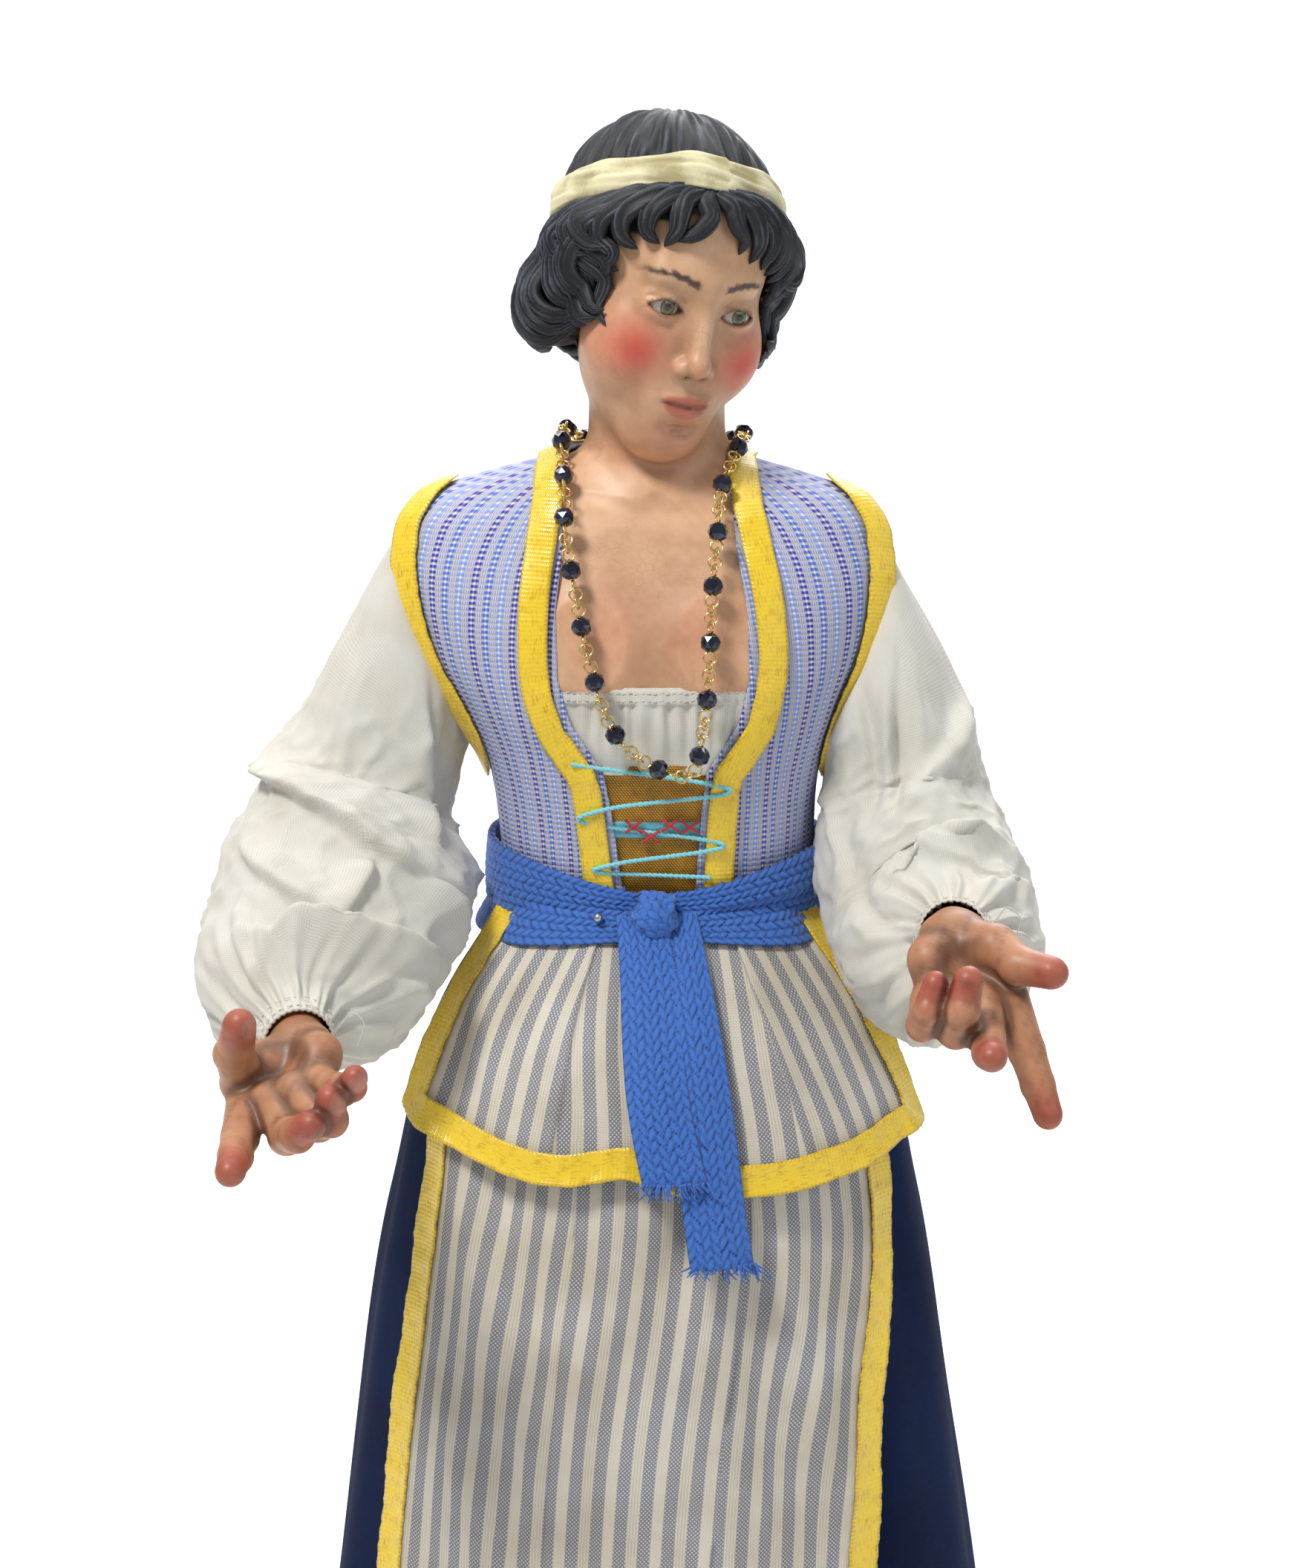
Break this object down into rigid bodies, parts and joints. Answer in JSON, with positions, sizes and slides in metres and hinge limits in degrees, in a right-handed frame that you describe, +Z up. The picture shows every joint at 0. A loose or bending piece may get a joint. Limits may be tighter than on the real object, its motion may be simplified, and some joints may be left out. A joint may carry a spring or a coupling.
{
  "type": "dressed nativity figure",
  "caption": "Standing dressed nativity-scene figure of a woman with painted clay head and hands, laced bodice, aprons, sash and bead necklace, on a low wooden base.",
  "frame": {"origin": "centre of the base's underside, where the figure stands", "axes": "+Z up, the figure faces -Y, +X to the viewer's right"},
  "size_m": [0.1701, 0.1675, 0.3999],
  "materials": {
    "wood": "dark stained, waxed",
    "painted_legs": "fired clay, oil painted stocking and shoe",
    "navy_cloth": "plain woven cotton, matt",
    "striped_cotton": "plain woven cotton with grey stripes",
    "yellow_ribbon": "satin ribbon",
    "bodice_cloth": "woven in blue and white dashes",
    "white_cotton": "fine plain cotton",
    "gold_brown_cloth": "woven with dull gold thread",
    "blue_cord": "twisted two-ply cord",
    "blue_braid": "plaited wool",
    "painted_terracotta": "fired clay, oil painted and varnished",
    "eye_glass": "blown glass, painted behind",
    "jet_glass": "faceted, black with a blue gleam",
    "gilt_wire": "bright wire",
    "steel": "pin head"
  },
  "bodies": {
    "root": {"base": "wood", "leg_right": "painted_legs", "leg_left": "painted_legs", "skirt": "navy_cloth", "apron_long": "striped_cotton", "apron_long_ribbon": "yellow_ribbon", "apron_short": "striped_cotton", "apron_short_ribbon": "yellow_ribbon", "bodice": "bodice_cloth", "bodice_neck_ribbon": "yellow_ribbon", "bodice_armhole_ribbon_right": "yellow_ribbon", "bodice_armhole_ribbon_left": "yellow_ribbon", "blouse_front": "white_cotton", "stomacher": "gold_brown_cloth", "lacing": "blue_cord", "blouse_sleeve_right": "white_cotton", "blouse_sleeve_left": "white_cotton", "hand_right": "painted_terracotta", "hand_left": "painted_terracotta", "sash": "blue_braid", "sash_pin": "steel", "head_and_bust": "painted_terracotta", "eye_right": "eye_glass", "eye_left": "eye_glass", "necklace_wire": "gilt_wire", "necklace_bead_01": "jet_glass", "necklace_bead_02": "jet_glass", "necklace_bead_03": "jet_glass", "necklace_bead_04": "jet_glass", "necklace_bead_05": "jet_glass", "necklace_bead_06": "jet_glass", "necklace_bead_07": "jet_glass", "necklace_bead_08": "jet_glass", "necklace_bead_09": "jet_glass", "necklace_bead_10": "jet_glass", "necklace_bead_11": "jet_glass", "necklace_bead_12": "jet_glass", "necklace_bead_13": "jet_glass", "necklace_bead_14": "jet_glass", "necklace_bead_15": "jet_glass", "necklace_bead_16": "jet_glass", "necklace_bead_17": "jet_glass", "necklace_bead_18": "jet_glass", "necklace_bead_19": "jet_glass", "necklace_bead_20": "jet_glass", "necklace_bead_21": "jet_glass"}
  },
  "joints": []
}
